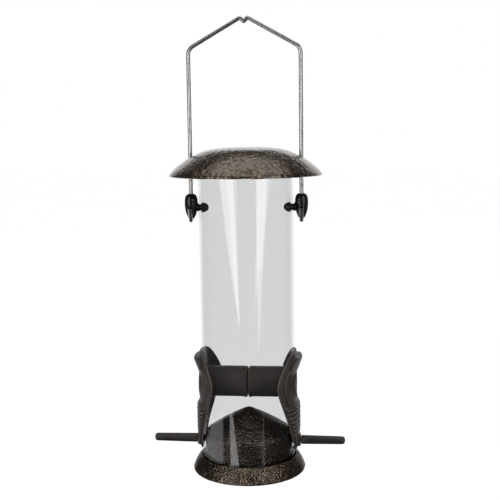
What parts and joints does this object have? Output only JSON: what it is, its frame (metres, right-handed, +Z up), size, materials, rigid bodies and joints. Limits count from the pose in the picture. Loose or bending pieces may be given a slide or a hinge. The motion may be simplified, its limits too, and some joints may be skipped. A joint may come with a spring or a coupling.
{
  "type": "hanging seed tube feeder",
  "caption": "Hanging clear seed tube with leaf-shaped feeding ports, rod perches, a flared cast base and a domed lid that slides up its wire hanger.",
  "frame": {"origin": "centre of the foot ring, on the surface that the feeder stands on", "axes": "+Z up along the tube; the ports, perches and hanger legs lie along X, and the wire's folded ends face -Y, the front"},
  "size_m": [0.135, 0.1044, 0.3124],
  "materials": {
    "clear_tube": "clear, polished",
    "hammered_paint": "glossy hammered bronze-brown paint",
    "bright_wire": "bright drawn wire",
    "black_plastic": "glossy",
    "charcoal_plastic": "satin moulded"
  },
  "bodies": {
    "feeder": {"tube": "clear_tube", "base": "hammered_paint", "port_left": "charcoal_plastic", "port_right": "charcoal_plastic", "perch_left": "charcoal_plastic", "perch_right": "charcoal_plastic"},
    "hanger": {"hanger_wire": "bright_wire", "bung_left": "black_plastic", "bung_right": "black_plastic"},
    "lid": {"lid": "hammered_paint"}
  },
  "joints": [
    {"name": "hanger_swing", "type": "hinge", "parent": "feeder", "child": "hanger", "pos_m": [0, 0, 0.184], "axis": [1, 0, 0], "range_deg": [-2, 2]},
    {"name": "lid_lift", "type": "slide", "parent": "hanger", "child": "lid", "axis": [0, 0, 1], "range_m": [0, 0.064]}
  ]
}
